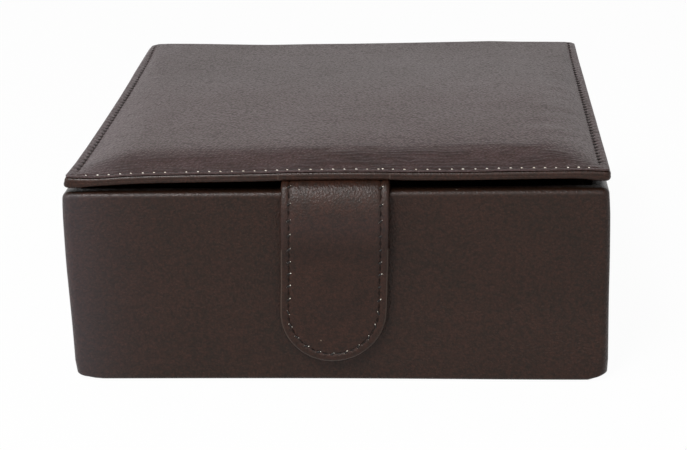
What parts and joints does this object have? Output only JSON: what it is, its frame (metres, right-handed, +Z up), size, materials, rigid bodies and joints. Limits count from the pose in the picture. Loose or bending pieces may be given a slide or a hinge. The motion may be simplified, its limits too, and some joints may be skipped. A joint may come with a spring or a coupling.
{
  "type": "matchbox holder",
  "caption": "Low leather-covered box with a padded lid on a leather hinge at the back, and a folding tab over the front that a hidden magnet holds.",
  "frame": {"origin": "centre of the underside of the box", "axes": "+X to the right seen from the front, +Y from the front with the tab to the back with the hinge, +Z up"},
  "size_m": [0.14, 0.1537, 0.0583],
  "materials": {
    "brown_leather": "smooth full grain, low sheen",
    "suede_lining": "napped suede",
    "greyboard": "plain pressed board",
    "foam": "open-cell foam sheet",
    "steel": "plain",
    "thread": "waxed twisted thread"
  },
  "bodies": {
    "box": {"base_board": "greyboard", "front_board": "greyboard", "back_board": "greyboard", "left_board": "greyboard", "right_board": "greyboard", "wall_leather": "brown_leather", "back_leather": "brown_leather", "inner_hinge_lower": "brown_leather", "base_cover": "suede_lining", "floor_liner": "suede_lining", "front_liner": "suede_lining", "back_liner": "suede_lining", "left_liner": "suede_lining", "right_liner": "suede_lining", "keeper_plate": "steel"},
    "lid": {"lid_board": "greyboard", "lid_edge_leather": "brown_leather", "lid_pad": "foam", "lid_cover": "brown_leather", "lid_lining": "suede_lining", "inner_hinge_upper": "brown_leather", "hinge_fold": "brown_leather", "stitching_front": "thread", "stitching_left": "thread", "stitching_right": "thread", "tab_root": "brown_leather"},
    "tab": {"tab_fold": "brown_leather", "tab_front_leather": "brown_leather", "tab_back_leather": "brown_leather", "tab_stiffener": "greyboard", "tab_magnet": "steel", "tab_stitching": "thread"}
  },
  "joints": [
    {"name": "lid_hinge", "type": "hinge", "parent": "box", "child": "lid", "pos_m": [0, 0.0752, 0.0529], "axis": [-1, 0, 0], "range_deg": [0, 180], "deforming": ["hinge_fold"]},
    {"name": "tab_hinge", "type": "hinge", "parent": "lid", "child": "tab", "pos_m": [0, -0.0759, 0.0526], "axis": [-1, 0, 0], "range_deg": [0, 135], "deforming": ["tab_fold"]}
  ]
}
